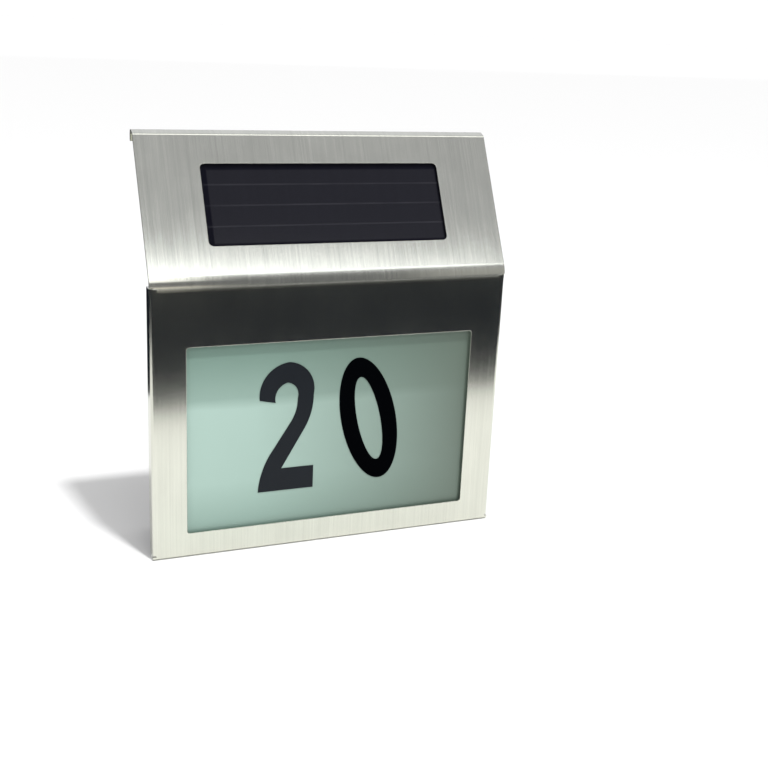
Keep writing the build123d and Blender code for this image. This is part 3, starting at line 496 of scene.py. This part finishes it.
def add_polarity_marks(finish):
    """A plus and a minus on the round floor of the battery bay, a little below its middle."""
    low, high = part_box("battery_cell")
    axis = (low + high) / 2
    radius = (high.y - low.y) / 2 + BAY_GAP
    arm = MARK_ARM - MARK_BAR / 2
    rise = MARK_ARM - arm / 2
    # each bar: its place up the mark, its width and its height
    flat = (0, 2 * MARK_ARM, MARK_BAR)
    uprights = [(rise, MARK_BAR, arm), (-rise, MARK_BAR, arm)]
    marks = (
        ("mark_minus", low.x + MARK_INSET, [flat]),
        ("mark_plus", high.x - MARK_INSET, [flat] + uprights),
    )
    for name, x, bars in marks:
        shape = bmesh.new()
        for offset, width, height in bars:
            bar = bmesh.ops.create_grid(shape, x_segments=1, y_segments=4, size=0.5)["verts"]
            bmesh.ops.scale(shape, vec=(width, height, 1), verts=bar)
            bmesh.ops.translate(shape, vec=(x, offset - MARK_DROP, 0), verts=bar)
        for corner in shape.verts:
            up = corner.co.y
            depth = sqrt(radius**2 - up**2) - INK
            corner.co = (corner.co.x, axis.y - depth, axis.z + up)
        bmesh.ops.solidify(shape, geom=shape.faces[:], thickness=INK)
        mesh = bpy.data.meshes.new(name)
        shape.to_mesh(mesh)
        shape.free()
        add_piece(name, mesh, finish, "sign")


# ------------------------------------------------------------------ floor and light

FLOOR_SIZE = 80.0
PALE_WIDTH = 0.9
PALE_FRONT = -0.237
PALE_BACK = 0.235
SURROUND = 6.0
SURROUND_DARK = (0.006, 0.008, 0.012)
SURROUND_LIGHT = (0.13, 0.13, 0.125)
FADE_START = -0.52
FADE_LENGTH = 3.3
KEY_WAY = (0.127, -0.352, 0.927)
KEY_STRENGTH = 1.88
KEY_SPREAD = 0.07
FOLD = Vector((0, -0.02, 0.136))
# strengths of the room's own light
ROOM_LIGHT = 0.59
ADDED_IN_VIEW = 0.5
MIRRORED_BEHIND = 0.85
MIRRORED_TINT = (0.985, 0.99, 1.07)
BEHIND_START = 0.05


def add_stage(name, shape, material):
    """Puts down something that isn't part of the sign."""
    mesh = bpy.data.meshes.new(name)
    shape.to_mesh(mesh)
    shape.free()
    mesh.materials.append(material)
    thing = bpy.data.objects.new(name, mesh)
    bpy.context.scene.collection.objects.link(thing)
    return thing


def add_floor():
    """A pale floor, and over it a dark surround that only reflections see, open round the sign."""
    pale = Finish("pale_floor", (0.9, 0.9, 0.9), roughness=0.8, specular_ior_level=0.1)
    shape = bmesh.new()
    bmesh.ops.create_grid(shape, x_segments=1, y_segments=1, size=FLOOR_SIZE / 2)
    add_stage("floor", shape, pale.material)
    dark = Finish("dark_surround", SURROUND_DARK, roughness=0.9, specular_ior_level=0.0)
    # the surround grows lighter with the distance, to soften the end of the sheet's dark part
    away = (FADE_START - dark.axis("Y")) / FADE_LENGTH
    lighter = dark.ramp(away, (0.0, 0.0), (0.04, 0.12), (0.16, 0.5), (1.0, 1.0))
    dark.set("Base Color", dark.blend(lighter, SURROUND_DARK, SURROUND_LIGHT))
    shape = bmesh.new()
    bmesh.ops.create_grid(shape, x_segments=1, y_segments=1, size=0.5)
    size = (PALE_WIDTH + 2 * SURROUND, PALE_BACK - PALE_FRONT + 2 * SURROUND, 1)
    bmesh.ops.scale(shape, vec=size, verts=shape.verts)
    bmesh.ops.translate(shape, vec=(0, (PALE_BACK + PALE_FRONT) / 2, 1 * MM), verts=shape.verts)
    opening = shape.faces[:]
    bmesh.ops.inset_individual(shape, faces=opening, thickness=SURROUND, use_even_offset=True)
    bmesh.ops.delete(shape, geom=opening, context="FACES")
    surround = add_stage("dark_surround", shape, dark.material)
    surround.visible_camera = False
    surround.visible_diffuse = False
    surround.visible_shadow = False
    surround.visible_transmission = False


def add_soft_box(name, left, right, height, radiance, colour=(1, 1, 1)):
    """A long soft lamp between two end points, of an even brightness, that looks at the fold."""
    left = Vector(left)
    right = Vector(right)
    lamp = bpy.data.lights.new(name, "AREA")
    lamp.shape = "RECTANGLE"
    lamp.size = (right - left).length
    lamp.size_y = height
    lamp.energy = radiance * lamp.size * height * pi
    lamp.color = colour
    along = (right - left).normalized()
    middle = (left + right) / 2
    back = (middle - FOLD).cross(along).cross(-along).normalized()
    turn = Matrix((along, back.cross(along), back)).transposed()
    holder = bpy.data.objects.new(name, lamp)
    holder.matrix_world = Matrix.Translation(middle) @ turn.to_4x4()
    holder.visible_camera = False
    bpy.context.scene.collection.objects.link(holder)


def add_key():
    """The key light stands high, in front and a little to the right, and lights the whole floor."""
    lamp = bpy.data.lights.new("key", "SUN")
    lamp.energy = KEY_STRENGTH
    lamp.angle = KEY_SPREAD
    holder = bpy.data.objects.new("key", lamp)
    holder.rotation_euler = (-Vector(KEY_WAY)).to_track_quat("-Z", "Y").to_euler()
    holder.visible_glossy = False
    bpy.context.scene.collection.objects.link(holder)


def add_studio_walls():
    """White in view; in reflections the wall behind the sign is brighter than the room in front."""
    world = bpy.data.worlds.new("studio")
    world.use_nodes = True
    bpy.context.scene.world = world
    room = Nodes(world.node_tree)
    seen = room.add("ShaderNodeLightPath", {}, {}, "Is Camera Ray")
    mirrored = room.add("ShaderNodeLightPath", {}, {}, "Is Glossy Ray")
    way = room.add("ShaderNodeTexCoord", {}, {}, "Generated")
    behind = room.add("ShaderNodeSeparateXYZ", {}, {0: way}, "Y").over(BEHIND_START)
    background = world.node_tree.nodes["Background"]
    height = room.add("ShaderNodeSeparateXYZ", {}, {0: way}, "Z")
    stops = ((0.0, 0.19), (0.28, 0.19), (0.5, 0.31), (0.64, 0.485))
    front = room.add("ShaderNodeValToRGB", {"stops": stops}, {0: height})
    in_mirror = front + behind * (MIRRORED_BEHIND - front)
    strength = seen * ADDED_IN_VIEW + mirrored * (in_mirror - ROOM_LIGHT) + ROOM_LIGHT
    tint = {"Factor": mirrored, "A": (1, 1, 1), "B": MIRRORED_TINT}
    colour = room.add("ShaderNodeMix", {"data_type": "RGBA"}, tint, "Result")
    room.feed(background.inputs["Color"], colour)
    room.feed(background.inputs["Strength"], strength)


def add_lights():
    add_studio_walls()
    add_key()
    # two near boxes: their reflections lie in the upper part of the fold, the second at its left end
    add_soft_box(
        "soft_box",
        left=(-0.216, -0.368, 0.438),
        right=(0.47, -0.55, 0.574),
        height=0.088,
        radiance=2.4,
        colour=(0.98, 1.0, 1.05),
    )
    add_soft_box(
        "soft_box_left",
        left=(-0.25, -0.45, 0.378),
        right=(0.045, -0.45, 0.386),
        height=0.12,
        radiance=1.6,
        colour=(1.0, 0.99, 0.97),
    )
    # three far boxes: weaker light in the lower part of the fold, two at its left and one at its right
    add_soft_box(
        "low_strip",
        left=(-0.13, -0.7, 0.205),
        right=(0.10, -0.7, 0.205),
        height=0.10,
        radiance=0.85,
        colour=(1.0, 0.93, 0.82),
    )
    add_soft_box(
        "low_strip_glow",
        left=(-0.13, -0.7, 0.085),
        right=(0.08, -0.7, 0.085),
        height=0.13,
        radiance=0.24,
        colour=(1.0, 0.95, 0.86),
    )
    add_soft_box(
        "low_strip_right",
        left=(0.36, -0.7, 0.36),
        right=(0.9, -0.7, 0.36),
        height=0.3,
        radiance=0.26,
        colour=(1.0, 0.98, 0.92),
    )
    # a box overhead draws the bright line along the bend of the hook
    add_soft_box("top_box", left=(-0.5, -0.45, 1.3), right=(1.2, -0.45, 1.3), height=0.4, radiance=1.5)
    bpy.context.scene.view_settings.view_transform = "Standard"


add_camera()
dress_everything()
ink = marking_ink()
add_switch_words(ink)
add_polarity_marks(ink)
add_floor()
add_lights()
